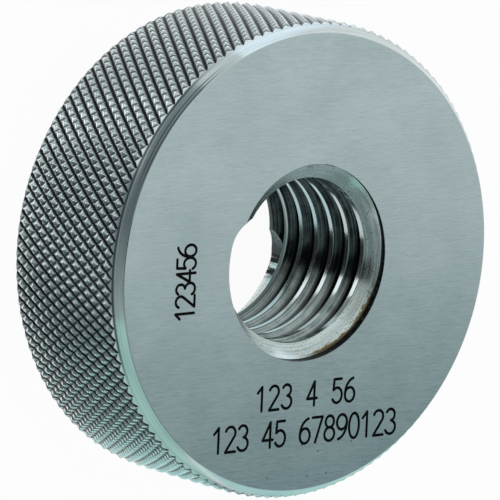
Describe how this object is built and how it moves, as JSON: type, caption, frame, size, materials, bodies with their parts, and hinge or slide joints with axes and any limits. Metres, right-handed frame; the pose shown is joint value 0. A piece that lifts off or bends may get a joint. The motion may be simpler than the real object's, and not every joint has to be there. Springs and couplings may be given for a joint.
{
  "type": "thread ring gauge",
  "caption": "Round steel ring with a knurled rim, chamfered edges and a coarse internal screw thread, used to gauge an external thread.",
  "frame": {"origin": "centre of the back face, on the thread's axis", "axes": "+Z along the thread's axis towards the marked front face; +X is the reading direction of the marks on that face"},
  "size_m": [0.0496, 0.0496, 0.018],
  "materials": {
    "gauge_steel": "satin"
  },
  "bodies": {
    "root": {"gauge_ring": "gauge_steel"}
  },
  "joints": []
}
